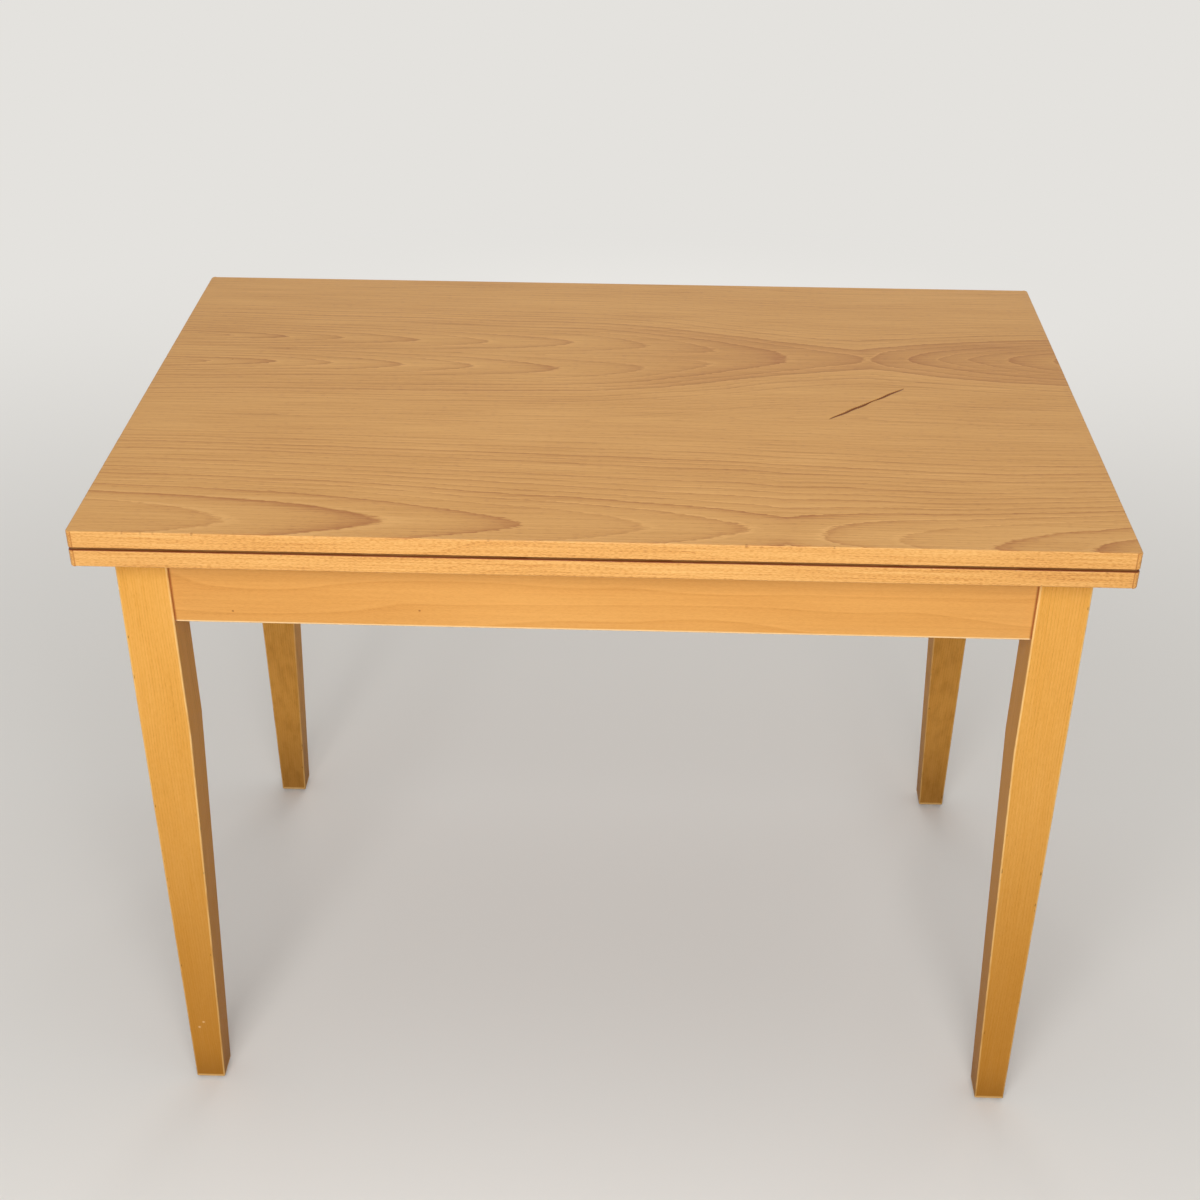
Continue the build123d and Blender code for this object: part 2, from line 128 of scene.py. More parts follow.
class Wiring:
    """A tree of shader nodes, and the one method that adds to it."""

    def __init__(self, tree):
        self.tree = tree

    def node(self, kind, settings=None, inputs=None, out=0):
        """A node of a kind, with its settings, and its sockets filled or linked."""
        made = self.tree.nodes.new("ShaderNode" + kind)
        for name, value in (settings or {}).items():
            setattr(made, name, value)
        pairs = inputs.items() if isinstance(inputs, dict) else enumerate(inputs or ())
        for key, value in pairs:
            self.feed(made.inputs[key], value)
        return Tone(self, made.outputs[out])

    def feed(self, socket, value):
        """Links a socket to a shader number, or sets it to a plain value."""
        if isinstance(value, Tone):
            self.tree.links.new(value.socket, socket)
        else:
            socket.default_value = value

    def noise(self, x, y, z, detail=2.0):
        """Soft noise around 0, about 0.5 either way, at a scaled point."""
        point = self.node("CombineXYZ", None, (x, y, z))
        return self.node("TexNoise", None, {"Vector": point, "Scale": 1.0, "Detail": detail}) - 0.5

    def mix(self, factor, first, second, weight=None):
        """A colour between two by a weighted factor; a Mix node's colours are inputs 6, 7 and output 2."""
        if weight is not None:
            factor = factor * weight
        settings = {"data_type": "RGBA", "clamp_factor": True}
        return self.node("Mix", settings, {0: factor, 6: first, 7: second}, out=2)

    def ramp(self, value, *colours):
        """Evenly spaced colours, read at a value from 0 to 1."""
        made = self.node("ValToRGB", None, (value,))
        stops = made.socket.node.color_ramp.elements
        while len(stops) < len(colours):
            stops.new(1.0)
        for i, colour in enumerate(colours):
            stops[i].position = i / (len(colours) - 1)
            stops[i].color = colour
        return made

    def mark(self, name):
        """A number stored on a mesh's points, which is 0 on any other mesh."""
        return self.node("Attribute", {"attribute_name": name}, out="Fac")

    def seen(self):
        """1 for what the camera sees, straight, mirrored or through glass, and else 0."""
        kinds = ("Camera", "Glossy", "Transmission")
        rays = [self.node("LightPath", out=f"Is {kind} Ray") for kind in kinds]
        return rays[0].most(rays[1]).most(rays[2])


print("nodes are wired by expressions")

# %% [markdown]
# A finish is one material on its way. Places are in millimetres of the real table, as a cabinet maker would
# give them, and colours are written as a screen shows them.

# %% Finishes


def linear(red, green, blue):
    """A colour as a screen shows it, from 0 to 255, in a shader's linear light."""
    screen = np.array([red, green, blue]) / 255
    light = np.where(screen <= 0.04045, screen / 12.92, ((screen + 0.055) / 1.055) ** 2.4)
    return (*light.tolist(), 1.0)


class Finish(Wiring):
    """One material, its surface shader, and places on it in millimetres."""

    def __init__(self, name):
        self.material = bpy.data.materials.new(name)
        self.material.use_nodes = True
        super().__init__(self.material.node_tree)
        self.surface = self.tree.nodes["Principled BSDF"]
        place = self.node("TexCoord", out="Object")
        split = self.node("SeparateXYZ", None, (place,)).socket.node
        self.x, self.y, self.z = (Tone(self, socket) / MM for socket in split.outputs)

    def done(self, colour, roughness, height=None, depth=0.1, **constants):
        """Connects what varies over the surface, and sets what is the same all over it."""
        self.feed(self.surface.inputs["Base Color"], colour)
        self.feed(self.surface.inputs["Roughness"], roughness)
        if height is not None:
            bump = self.node("Bump", None, {"Strength": 1.0, "Distance": depth * MM, "Height": height})
            self.feed(self.surface.inputs["Normal"], bump)
        sockets = {socket.name.lower().replace(" ", "_"): socket for socket in self.surface.inputs}
        for name, value in constants.items():
            sockets[name].default_value = value
        return self.material

    def wood(self, colour, pores, roughness, spread, depth, **constants):
        """Finishes wood, whose pores are rougher than the rest and a little lower."""
        return self.done(colour, roughness + spread * pores, pores, depth, **constants)


print("finishes are ready to be mixed")

# %% [markdown]
# Sizes that the finishes and new pieces need are read from the solids. Only the foot's width and the height
# where the taper starts are written down, since a box around a leg doesn't show them. A leaf is a board with
# four lippings, strips of solid beech that close its edges.

# %% Sizes read from the solids


def box_mm(node):
    """The lowest and highest corner of a solid, in millimetres."""
    low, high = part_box(node)
    return np.array(low) / MM, np.array(high) / MM


class Leaf:
    """Where one leaf lies: its board inside the lippings, its edges and its two faces."""

    def __init__(self, name):
        self.name = name
        low, high = box_mm(f"{name}_leaf_panel")
        self.inner_x, self.inner_y = high[0], high[1]
        self.bottom, self.top = low[2], high[2]
        self.edge_x = box_mm(f"{name}_lipping_right")[1][0]
        self.edge_y = -box_mm(f"{name}_lipping_front")[0][1]
        self.body = f"{name}_leaf"


upper_leaf = Leaf("upper")
lower_leaf = Leaf("lower")
leg_low, leg_high = box_mm("leg_back_right")
LEG_OUTER_X, LEG_OUTER_Y = leg_high[0], leg_high[1]
LEG_WIDTH = leg_high[0] - leg_low[0]
FOOT_WIDTH = 33.0
LEG_BEND = 500.0
RAIL_END = {"x": box_mm("apron_front")[1][0], "y": box_mm("apron_right")[1][1]}
RAIL_BOTTOM = box_mm("apron_front")[0][2]
print("legs", round(float(LEG_WIDTH), 1), "mm wide, rails from", round(float(RAIL_BOTTOM), 1), "mm up")

# %% [markdown]
# Beech has three scales of figure. Growth rings draw arches or lines, short brown flecks lie along the grain,
# and the tone drifts from place to place. Each is a number, and a ramp from pale to dark turns their sum into
# colour.

# %% What all beech shares

FLECK_FADE = 0.17
FIBRE_ALONG, FIBRE_ACROSS, FIBRE_DETAIL = 0.008, 0.26, 6.0
DRIFT_ALONG, DRIFT_ACROSS = 0.0035, 0.022
SLOW_DARK, LINE_DARK, LINE_SHARPNESS, YOUNG_PALE = 0.36, 0.64, 12.0, 0.25


def flecks(finish, along, across, through, length, width, rarity=0.03):
    """Short dashes along the grain: noise stretched along it, kept only where it is high."""
    speckle = finish.noise(along / length, across / width, through / width, detail=1.0)
    return speckle.step(rarity, rarity + FLECK_FADE)


def fibres(finish, along, across, through):
    """Lines far along the grain, from some millimetres apart to very fine."""
    place = along * FIBRE_ALONG, across * FIBRE_ACROSS, through * FIBRE_ACROSS
    return finish.noise(*place, detail=FIBRE_DETAIL)


def drift(finish, along, across, through):
    """The slow change of tone from place to place."""
    return finish.noise(along * DRIFT_ALONG, across * DRIFT_ACROSS, through * DRIFT_ACROSS)


def ring_tone(phase):
    """A ring darkens slowly outwards, ends in a thin dark line, and starts again pale."""
    part = phase.fraction()
    dark = SLOW_DARK * part * part + LINE_DARK * part ** LINE_SHARPNESS
    return dark * part.fade(low=0.95, high=1.0) - YOUNG_PALE * part.fade(low=0.0, high=0.16)


print("rings, flecks, fibres and drift")

# %% [markdown]
# Legs and rails are solid stock. Their rings pass at a slant and wave a little, so a ring's number is a
# slanted distance plus slow noise. One function serves every direction of the grain, and each cut of wood has
# its own figure: its rings' spacing, strength and sway, and how strong its fibres and flecks are.

# %% Solid beech

DIAGONALS = {"rise": 1.0, "fall": -1.0}
WAVE_ALONG, WAVE_ACROSS = 0.0022, 0.010
SLANT_ACROSS, SLANT_THROUGH = 0.85, 0.5
MIDDLE_TONE, DRIFT_WEIGHT, FLECK_DEPTH = 0.33, 0.35, 0.6


def along_grain(finish, grain):
    """The place along the grain, which may be diagonal, and the two across it."""
    if grain in DIAGONALS:
        half = math.sqrt(0.5)
        turn = DIAGONALS[grain] * half
        return half * finish.x + turn * finish.y, half * finish.y - turn * finish.x, finish.z
    places = {"x": finish.x, "y": finish.y, "z": finish.z}
    along = places.pop(grain)
    return (along, *places.values())


def beech_tone(finish, grain, spacing, rings, sway, fine, lines, specks):
    """How dark solid beech is, from 0 to 1, and the height of its pores."""
    along, across, through = along_grain(finish, grain)
    wave = finish.noise(along * WAVE_ALONG, across * WAVE_ACROSS, through * WAVE_ACROSS)
    phase = (across * SLANT_ACROSS + through * SLANT_THROUGH + wave * sway) / spacing
    line = fibres(finish, along, across * fine, through * fine)
    dashes = flecks(finish, along, across, through, length=4.5, width=0.8, rarity=-0.06)
    slow = drift(finish, along, across, through)
    tone = MIDDLE_TONE + rings * ring_tone(phase) + lines * line + DRIFT_WEIGHT * slow + specks * dashes
    return tone, line - dashes * FLECK_DEPTH


def patchy(finish, across, along, detail=2.0):
    """Noise over an upright piece, scaled across it and along its height."""
    return finish.noise(finish.x * across, finish.y * across, finish.z * along, detail=detail)


print("solid beech in any direction")

# %% [markdown]
# The blocks, dowels and bearer inside the frame are bare wood. They are paler and duller than lacquered wood,
# and the saw left a fine ripple, for which a bump is enough.

# %% Sawn beech

SAWN_COLOURS = linear(226, 184, 130), linear(208, 162, 106), linear(168, 118, 68)
SAWN_FIGURE = dict(spacing=8.0, rings=0.14, sway=55.0, fine=1.0, lines=1.0, specks=0.25)
SAWN_ROUGHNESS, SAWN_PORES = 0.74, 0.1


def sawn_beech(name, grain):
    """Bare wood as the saw left it."""
    finish = Finish(name)
    tone, pores = beech_tone(finish, grain, **SAWN_FIGURE)
    saw_marks = patchy(finish, across=0.4, along=0.1)
    colour = finish.ramp(tone, *SAWN_COLOURS)
    return finish.done(colour, SAWN_ROUGHNESS + SAWN_PORES * pores, pores + saw_marks, depth=0.25)


block_beech = {grain: sawn_beech(f"block_beech_{grain}", grain) for grain in ("x", "y", "z", *DIAGONALS)}
print("sawn beech with its grain along", list(block_beech))

# %% [markdown]
# The legs have been knocked and rubbed: blotches cloud the back ones, dark nicks sit along the arrises, and
# one foot has two specks of paint. An arris is where a point lies near two faces at once, so its wear needs
# only the distances to them.

# %% Wear on the legs

LEG_COLOURS = linear(247, 190, 108), linear(227, 165, 76), linear(168, 106, 18)
# A dark brown for blotches and nicks, and for the painted shade low on the legs.
LEG_GRIME_AND_SHADE = linear(112, 68, 16)
# A pale for the specks of paint, and for the painted highlight on the rails' lower arris.
SPECK_AND_HIGHLIGHT_PALE = linear(255, 222, 168)
PAINT_SPECKS = ((-455.4, 92.6), (-461.0, 84.4))
FRONT_SKIN = (-284.0, -280.0)
SPOT_CORE = 0.3


def leg_arris(finish):
    """Nearness to an arris: small where two neighbouring faces are both near."""
    width = FOOT_WIDTH + (LEG_WIDTH - FOOT_WIDTH) * (finish.z / LEG_BEND).least(1.0)
    from_end = LEG_OUTER_X - abs(finish.x)
    from_side = LEG_OUTER_Y - abs(finish.y)
    return from_end.least(width - from_end).most(from_side.least(width - from_side))


def spot(finish, place, level, radius):
    """1 in the middle of a round spot on a front face, fading to 0 at its radius."""
    distance = ((finish.x - place) ** 2.0 + (finish.z - level) ** 2.0).root()
    return distance.fade(SPOT_CORE * radius, radius)


def leg_wear(finish, colour, behind):
    """Blotches, most of all behind, dark nicks along the arrises, and the paint."""
    blotch = patchy(finish, across=0.10, along=0.04, detail=7.0).step(low=-0.12, high=0.25)
    colour = finish.mix(blotch, colour, LEG_GRIME_AND_SHADE, weight=0.03 + 0.13 * behind)
    colour = finish.mix((1.0 - blotch) * behind, colour, LEG_COLOURS[0], weight=0.08)
    nick = patchy(finish, across=0.22, along=0.10, detail=1.0).step(low=0.19, high=0.25)
    nick = nick * leg_arris(finish).fade(low=1.5, high=4.5)
    colour = finish.mix(nick, colour, LEG_GRIME_AND_SHADE, weight=0.75)
    for place, level in PAINT_SPECKS:
        speck = spot(finish, place, level, radius=2.0) * finish.y.fade(*FRONT_SKIN)
        colour = finish.mix(speck, colour, SPECK_AND_HIGHLIGHT_PALE, weight=0.55)
    return colour


print(len(PAINT_SPECKS), "specks of paint")

# %% [markdown]
# A leg is darkened towards the floor, most near the foot, as painted shade. Along the arrises the lacquer has
# rubbed through to paler wood, a little more so higher up, and the foot's own edge is bare.

# %% Legs

LEG_FIGURE = dict(spacing=2.4, rings=0.34, sway=24.0, fine=2.6, lines=0.40, specks=0.09)
WORN_PALE = linear(250, 208, 138)


def leg_beech():
    """The legs' finish: painted shade towards the floor, and bare along the arrises."""
    finish = Finish("leg_beech")
    tone, pores = beech_tone(finish, "z", **LEG_FIGURE)
    colour = finish.ramp(tone, *LEG_COLOURS)
    behind = finish.y.step(-1.0, 1.0)
    # Painted shade: the legs darken towards the floor, most of all near the foot.
    low_shade = finish.z.step(low=-40.0, high=620.0, start=0.68, end=0.0)
    colour = finish.mix(low_shade, colour, LEG_COLOURS[-1], weight=1.0 - 0.6 * behind)
    foot_shade = finish.z.step(low=-20.0, high=70.0 + 120.0 * behind, start=0.45 + 0.15 * behind, end=0.0)
    colour = finish.mix(foot_shade, colour, LEG_GRIME_AND_SHADE)
    colour = leg_wear(finish, colour, behind)
    patches = patchy(finish, across=0.02, along=0.03).step(low=-0.4, high=0.1)
    worn = (leg_arris(finish).fade(low=0.9, high=2.2) * patches).most(finish.z.fade(low=7.0, high=8.6))
    upwards = finish.z.step(low=0.0, high=LEG_BEND, start=0.0, end=0.35)
    colour = finish.mix(worn, colour, WORN_PALE, weight=0.55 + upwards)
    return finish.wood(colour, pores, roughness=0.50, spread=0.14, depth=0.12, specular_ior_level=0.08)


leg_finish = leg_beech()
print("legs taper to", FOOT_WIDTH, "mm at the foot")

# %% [markdown]
# The last millimetres of a rail, where it meets the legs, are darkened as painted shade, and its lower arris
# is lightened as a painted highlight. Two pin knots mark the long rails.

# %% Rails

RAIL_COLOURS = linear(238, 179, 102), linear(215, 154, 80), linear(174, 106, 46)
RAIL_FIGURE = dict(spacing=13.0, rings=0.20, sway=55.0, fine=1.8, lines=0.28, specks=0.08)
# A dark brown for the pin knots, and for painted shade at the rails' ends and in the gap between the leaves.
SHADE_AND_KNOT_BROWN = linear(124, 46, 8)
PIN_KNOTS = ((-363.0, 654.0), (-178.0, 659.0))
SATIN = {"coat_roughness": 0.3, "specular_ior_level": 0.26}


def rail_beech(name, grain):
    """A rail's finish: painted shade where it meets the legs and a painted highlight along its lower arris.
    """
    finish = Finish(name)
    tone, pores = beech_tone(finish, grain, **RAIL_FIGURE)
    colour = finish.ramp(tone, *RAIL_COLOURS)
    along = {"x": finish.x, "y": finish.y}[grain]
    # Painted shade at the rail's ends where it meets the legs, and a painted highlight along its lower arris.
    joint = abs(along).step(low=RAIL_END[grain] - 3.0, high=RAIL_END[grain] - 0.6)
    arris_highlight = finish.z.fade(low=RAIL_BOTTOM + 1.7, high=RAIL_BOTTOM + 2.7)
    colour = finish.mix(arris_highlight, colour, SPECK_AND_HIGHLIGHT_PALE, weight=0.85)
    colour = finish.mix(joint, colour, SHADE_AND_KNOT_BROWN, weight=0.75)
    for place, level in PIN_KNOTS if grain == "x" else ():
        colour = finish.mix(spot(finish, place, level, radius=1.6), colour, SHADE_AND_KNOT_BROWN, weight=0.6)
    return finish.wood(colour, pores, roughness=0.43, spread=0.14, depth=0.10, coat_weight=0.03, **SATIN)


rail_finish = {grain: rail_beech(f"rail_beech_{grain}", grain) for grain in "xy"}
print("rails end at", [round(float(end), 1) for end in RAIL_END.values()])

# %% [markdown]
# The leaves' faces are sliced veneer. Its arches are rings round a pith that dives below the face: a ring's
# radius is the root of two squares, of the distance across the grain and of the depth. Where the depth grows
# the arches close, and past the waist they open the other way.

# %% The veneer's arches

FAR_PITH, FAR_SHIFT = 140.0, 34.0
NEAR_PITH, NEAR_SHIFT = 68.0, 38.0
FRONT_PITH, FRONT_SHIFT = -290.0, 26.0
FRONT_RISE = 117.0
BACK_BLEND, FRONT_BLEND = 4.0, 14.0


def pith(across, centre, depth):
    """The ring radius round a pith at a centre line and a depth below the face."""
    return ((across - centre) ** 2.0 + depth * depth).root()


def dive(along, waist, deepest, left_slope, right_slope):
    """The pith's depth: deepest at the waist, rising evenly towards both ends."""
    left = (waist - along).most(0.0) * left_slope
    right = (along - waist).most(0.0) * right_slope
    return deepest - left - right


def veneer_radius(along, across):
    """Ring radii of the back figure, whose two arches join, and of the whole leaf."""
    join = along.step(low=-40.0, high=290.0)
    back_depth = dive(along, waist=285.0, deepest=64.0, left_slope=0.078, right_slope=0.15)
    front_depth = dive(along, waist=180.0, deepest=126.0, left_slope=0.052, right_slope=0.070)
    far = pith(across, FAR_PITH - join * FAR_SHIFT, back_depth)
    near = pith(across, NEAR_PITH + join * NEAR_SHIFT, back_depth)
    front_centre = FRONT_PITH - along.step(low=120.0, high=420.0) * FRONT_SHIFT
    front = pith(across, front_centre, front_depth) - FRONT_RISE
    back = far.least(near, BACK_BLEND)
    return back, back.least(front, FRONT_BLEND)


print("arches lie round y =", FAR_PITH, NEAR_PITH, FRONT_PITH, "mm")

# %% [markdown]
# No real arch is as smooth as its formula. Slow noise lets the figure sway, quicker noise ripples and
# feathers the rings, and each ring has its own strength, like good years and bad. The underside is another
# slice of the log, so its pattern is shifted.

# %% The veneer's tone

UNDER_X, UNDER_Y, UNDER_DEPTH = 210.0, 130.0, 9.0
SWAY_REACH, RIPPLE_REACH, FEATHER_REACH, SLIDE_REACH = 22.0, 3.0, 1.6, 60.0
RING_WIDTH, RING_SEED, UNEVEN = 6.2, 5.0, 2.2
HEART_RADIUS, HEART_EDGE = 67.5, 0.8
WEAK_YEAR, STRONG_YEAR = 0.40, 0.95
RED_RINGS, RED_WAIST = 0.30, 0.15
VENEER_FINE, DASH_DEPTH = 1.7, 0.5


def wander(finish, x, y, along, across, seed):
    """Noise over a face, scaled along and across the grain, with a seed of its own."""
    return finish.noise(x * along, y * across, seed)


def veneer_rings(finish, x, y):
    """How dark a ring is, how near the heart, and where the back figure's waist is."""
    sway = wander(finish, x, y, along=0.0026, across=0.006, seed=3.7)
    ripple = wander(finish, x, y, along=0.02, across=0.05, seed=8.1)
    feather = wander(finish, x, y, along=0.09, across=0.5, seed=2.9)
    across = y + sway * SWAY_REACH + ripple * RIPPLE_REACH
    along = x + wander(finish, x, y, along=0.005, across=0.02, seed=5.3) * SLIDE_REACH
    back, whole_leaf = veneer_radius(along, across)
    radius = whole_leaf + feather * FEATHER_REACH
    waist = back.fade(HEART_RADIUS, HEART_RADIUS + HEART_EDGE) * x.step(low=-60.0, high=170.0)
    phase = radius / RING_WIDTH + wander(finish, radius, x, along=0.035, across=0.0004, seed=1.3) * UNEVEN
    number = {"W": phase.whole() + RING_SEED}
    year = finish.node("TexWhiteNoise", {"noise_dimensions": "1D"}, number, out="Value")
    heart = radius.step(low=60.0, high=120.0, start=1.0, end=0.5)
    ring = ring_tone(phase) * heart * (WEAK_YEAR + STRONG_YEAR * year * year)
    return ring, heart, waist


def veneer_tone(finish, leaf, shift):
    """How dark the veneer is, how red, and the height of its pores."""
    middle = (leaf.bottom + leaf.top) / 2
    under = finish.z.fade(middle - 1.0, middle + 1.0)
    x = finish.x + shift[0] - under * UNDER_X
    y = finish.y + shift[1] + under * UNDER_Y
    ring, heart, waist = veneer_rings(finish, x, y)
    line = fibres(finish, x, y * VENEER_FINE, under * UNDER_DEPTH)
    dashes = flecks(finish, x, y, under * UNDER_DEPTH, length=9.0, width=1.6)
    slow = drift(finish, x, y, under * UNDER_DEPTH)
    tone = 0.37 + 0.70 * ring + 0.80 * line + 0.42 * slow + 0.15 * dashes + 0.14 * waist
    red = heart * ring.step(low=0.0, high=0.6) * RED_RINGS + waist * RED_WAIST
    return tone, red, line - dashes * DASH_DEPTH


print("rings about", RING_WIDTH, "mm apart")

# %% [markdown]
# A worn place is lower than the rest and has another colour. The new meshes below store how deep each point
# was dug, from 0 to 1, and the finish reads that to darken bruised wood. A solid without it reads 0.

# %% Finish of the boards

# The veneer's colours are browner than the solid wood's: partly the veneer's own tone, partly painted shade
# for the top, which gets less light than the fronts.
VENEER_COLOURS = linear(223, 170, 102), linear(202, 148, 81), linear(160, 101, 44)
VENEER_RED = linear(184, 121, 64)
BRUISE = linear(116, 62, 10)
LEAF_SHIFTS = {upper_leaf: (0.0, 0.0), lower_leaf: (-160.0, 40.0)}


def veneer_colour(finish, leaf, shift):
    """The veneer's colour and the height of its pores."""
    tone, red, pores = veneer_tone(finish, leaf, shift)
    colour = finish.ramp(tone, *VENEER_COLOURS)
    return finish.mix(red, colour, VENEER_RED), pores


def veneer(leaf, shift):
    """The finish of a leaf's board."""
    finish = Finish(f"{leaf.name}_veneer")
    colour, pores = veneer_colour(finish, leaf, shift)
    colour = finish.mix(finish.mark("dug").step(low=0.02, high=0.35), colour, BRUISE)
    return finish.wood(colour, pores, roughness=0.42, spread=0.12, depth=0.06, coat_weight=0.04, **SATIN)


board_finish = {leaf: veneer(leaf, shift) for leaf, shift in LEAF_SHIFTS.items()}
print(len(board_finish), "board finishes")

# %% [markdown]
# A lipping is flecked solid beech, and the veneer runs over it on both faces, so its finish blends the two by
# height. Corners show darker end grain, a seam shows where two lippings meet, and the rims in the gap
# between the leaves are darkened as painted shade.

# %% Finish of the lippings

LIPPING_COLOURS = linear(248, 198, 125), linear(224, 165, 92), linear(166, 98, 42)
LIPPING_FIGURE = dict(spacing=6.0, rings=0.14, sway=55.0, fine=2.2, lines=0.9, specks=0.24)
SKIN, SKIN_BLEND = 0.6, 0.2
RIM, RIM_DEPTHS = 3.6, (0.3, 0.9)


def painted_gap_shade(finish, leaf):
    """Painted shade on the rim of the face that lies in the gap between the leaves."""
    from_edge = (leaf.edge_x - abs(finish.x)).least(leaf.edge_y - abs(finish.y))
    near, far = RIM_DEPTHS
    if leaf is upper_leaf:
        inside = finish.z.fade(leaf.bottom + near, leaf.bottom + far)
    else:
        inside = finish.z.step(leaf.top - far, leaf.top - near)
    return inside * from_edge.fade(RIM * 0.5, RIM)


def lipping(leaf, shift, grain):
    """The finish of a leaf's edge, with the veneer running over it on both faces."""
    finish = Finish(f"{leaf.name}_lipping_{grain}")
    skin = veneer_colour(finish, leaf, shift)[0]
    tone, pores = beech_tone(finish, grain, **LIPPING_FIGURE)
    if grain == "y":
        tone = tone + abs(finish.y).step(low=leaf.edge_y - 4.0, high=leaf.edge_y - 0.4, start=0.0, end=0.12)
    colour = finish.ramp(tone, *LIPPING_COLOURS)
    seam = abs(abs(finish.x) - leaf.inner_x).fade(low=0.25, high=0.9)
    colour = finish.mix(seam, colour, LIPPING_COLOURS[-1], weight=0.6)
    face = finish.z.step(leaf.top - SKIN, leaf.top - SKIN + SKIN_BLEND)
    face = face.most(finish.z.fade(leaf.bottom + SKIN - SKIN_BLEND, leaf.bottom + SKIN))
    colour = finish.mix(face, colour, skin)
    # Painted shade on the rims in the gap between the leaves.
    colour = finish.mix(painted_gap_shade(finish, leaf), colour, SHADE_AND_KNOT_BROWN, weight=0.85)
    bruised = finish.mark("dug").step(low=0.15, high=0.9)
    colour = finish.mix(bruised, colour, BRUISE, weight=0.45)
    return finish.wood(colour, pores, roughness=0.42, spread=0.12, depth=0.10, coat_weight=0.03, **SATIN)


lipping_finish = {
    (leaf, grain): lipping(leaf, shift, grain) for leaf, shift in LEAF_SHIFTS.items() for grain in "xy"
}
print(len(lipping_finish), "lipping finishes")

# %% [markdown]
# Zinc has a faint crystal mottle, brass dulls unevenly, nylon is cloudy and felt is a mat of short hairs. One
# function gives them all, because each is a tone and a gloss that wander together.

# %% Finishes of the fittings

GRIT_FINENESS = 7.0
PATCH_TONE, GRIT_TONE, PATCH_HEIGHT = 1.2, 0.4, 0.3


def mottled(name, pale, dark, scale, roughness, spread, depth, **constants):
    """A finish whose tone and gloss wander together at one scale, in millimetres."""
    finish = Finish(name)
    place = [axis / scale for axis in (finish.x, finish.y, finish.z)]
    patch = finish.noise(*place, detail=3.0)
    grit = finish.noise(*(axis * GRIT_FINENESS for axis in place))
    colour = finish.ramp(0.5 + patch * PATCH_TONE + grit * GRIT_TONE, dark, pale)
    gloss = roughness + spread * patch
    return finish.done(colour, gloss, patch * PATCH_HEIGHT + grit, depth=depth, **constants)


zinc = mottled("zinc_plate", linear(206, 206, 200), linear(160, 160, 152),
               scale=2.2, roughness=0.34, spread=0.25, depth=0.02, metallic=1.0)
brass = mottled("hinge_brass", linear(222, 184, 106), linear(168, 128, 62),
                scale=5.0, roughness=0.33, spread=0.3, depth=0.02, metallic=1.0)
nylon = mottled("nylon", linear(232, 228, 216), linear(212, 206, 190),
                scale=6.0, roughness=0.48, spread=0.2, depth=0.03)
felt = mottled("felt", linear(96, 74, 58), linear(44, 31, 22),
               scale=0.5, roughness=0.95, spread=0.05, depth=0.3)
bumper = mottled("bumper", linear(226, 222, 210), linear(204, 198, 184),
                 scale=4.0, roughness=0.35, spread=0.1, depth=0.02)
print("zinc, brass, nylon, felt and bumper finishes")

# %% [markdown]
# Each solid names its material, and most materials have one finish, so a small table dresses them. Wood whose
# grain runs several ways needs a finish for each: a corner block's, for one, runs on a diagonal.

# %% Dress the solids


def dress(material, *names):
    """Gives solids one finish in place of the one they came with."""
    for name in names:
        nodes[name].data.materials.clear()
        nodes[name].data.materials.append(material)


SLOT_FINISH = {
    "beech_leg": leg_finish,
    "beech_block": block_beech["x"],
    "zinc_steel": zinc,
    "hinge_brass": brass,
    "nylon_glide": nylon,
    "felt": felt,
    "clear_bumper": bumper,
}
for part in frame["record"]["subparts"]:
    if part["material_slot"] in SLOT_FINISH:
        dress(SLOT_FINISH[part["material_slot"]], part["node"])
for leaf in LEAF_SHIFTS:
    dress(board_finish[leaf], f"{leaf.name}_leaf_panel")
    dress(lipping_finish[leaf, "x"], f"{leaf.name}_lipping_front", f"{leaf.name}_lipping_back")
    dress(lipping_finish[leaf, "y"], f"{leaf.name}_lipping_left", f"{leaf.name}_lipping_right")
dress(rail_finish["x"], "apron_front", "apron_back")
dress(rail_finish["y"], "apron_left", "apron_right")
dress(block_beech["rise"], "corner_block_front_right", "corner_block_back_left")
dress(block_beech["fall"], "corner_block_front_left", "corner_block_back_right")
dress(block_beech["y"], "pivot_bearer")
dress(block_beech["z"], "stop_peg")
print("dressed", len(nodes), "solids")

# %% [markdown]
# New pieces are surfaces on a grid: rows of points along the piece, each row a closed outline. One helper
# joins the rows and closes the ends, so a board, a screw and a bolt differ only in their array of points.

# %% From a grid of points to a piece

CREASE = math.radians(35.0)
scene = bpy.context.scene


def placed(name, data):
    """An object with its data, put into the scene."""
    made = bpy.data.objects.new(name, data)
    scene.collection.objects.link(made)
    return made


def grid_faces(count, width, first):
    """A closed sweep's faces: four-sided ones between rows, and one at each end."""
    grid = first + np.arange(count * width).reshape(count, width)
    following = np.roll(grid, -1, axis=1)
    sides = np.stack([grid[:-1], following[:-1], following[1:], grid[1:]], axis=-1).reshape(-1, 4)
    return [*sides.tolist(), grid[0, ::-1].tolist(), grid[-1].tolist()]


def swept(name, members, material, marks=None):
    """A piece from closed members: member[i, j] is point j of its outline i."""
    faces = []
    first = 0
    for rows in members:
        faces += grid_faces(*rows.shape[:2], first)
        first += rows.shape[0] * rows.shape[1]
    points = np.concatenate([rows.reshape(-1, 3) for rows in members])
    mesh = bpy.data.meshes.new(name)
    mesh.from_pydata((points * MM).tolist(), [], faces)
    if marks is not None:
        dug = mesh.attributes.new("dug", "FLOAT", "POINT")
        dug.data.foreach_set("value", marks.ravel().astype(np.float32))
    outward(mesh)
    mesh.polygons.foreach_set("use_smooth", np.ones(len(mesh.polygons), bool))
    mesh.set_sharp_from_angle(angle=CREASE)
    mesh.materials.append(material)
    return placed(name, mesh)


